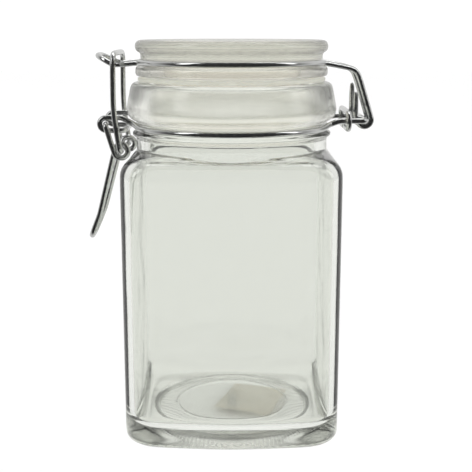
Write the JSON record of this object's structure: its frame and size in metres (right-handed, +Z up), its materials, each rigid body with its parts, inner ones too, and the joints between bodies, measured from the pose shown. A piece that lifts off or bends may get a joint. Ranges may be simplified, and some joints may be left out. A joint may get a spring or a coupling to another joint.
{
  "type": "lidded glass canister",
  "caption": "Square glass storage jar with a round glass lid, a rubber sealing ring, and a swing clasp and hinge bent from steel wire.",
  "frame": {"origin": "On the table, under the jar's own axis, which is the middle of the base.", "axes": "+Z is up, along the jar's axis. -Y is the front. The clasp is on the -X side and the hinge is on the +X side."},
  "size_m": [0.1049, 0.0768, 0.1437],
  "materials": {
    "clear_glass": "clear pressed glass with a faint grey-green tint",
    "seal_rubber": "soft translucent off-white rubber",
    "bright_wire": "bright plated steel wire",
    "paper": "matt off-white paper"
  },
  "bodies": {
    "jar": {"jar_body": "clear_glass", "neck_wire": "bright_wire", "tie_loop": "bright_wire", "base_label": "paper"},
    "lever": {"lever": "bright_wire"},
    "bail": {"bail": "bright_wire"},
    "lid_wire": {"lid_wire": "bright_wire"},
    "lid": {"glass_lid": "clear_glass", "gasket": "seal_rubber"}
  },
  "joints": [
    {"name": "lever_pivot", "type": "hinge", "parent": "jar", "child": "lever", "pos_m": [-0.0449, 0, 0.1142], "axis": [0, 1, 0], "range_deg": [0, 120]},
    {"name": "bail_pivot", "type": "hinge", "parent": "lever", "child": "bail", "pos_m": [-0.03955, 0, 0.1047], "axis": [0, 1, 0], "range_deg": [-87, 0]},
    {"name": "lid_hinge", "type": "hinge", "parent": "jar", "child": "lid_wire", "pos_m": [0.0481, 0, 0.1153], "axis": [0, 1, 0], "range_deg": [0, 200]},
    {"name": "lid_spin", "type": "hinge", "parent": "lid_wire", "child": "lid", "pos_m": [0, 0, 0.1359], "axis": [0, 0, 1], "continuous": true}
  ],
  "couplings": [
    {"joint": "bail_pivot", "follows": "lever_pivot", "ratio": -0.72}
  ]
}
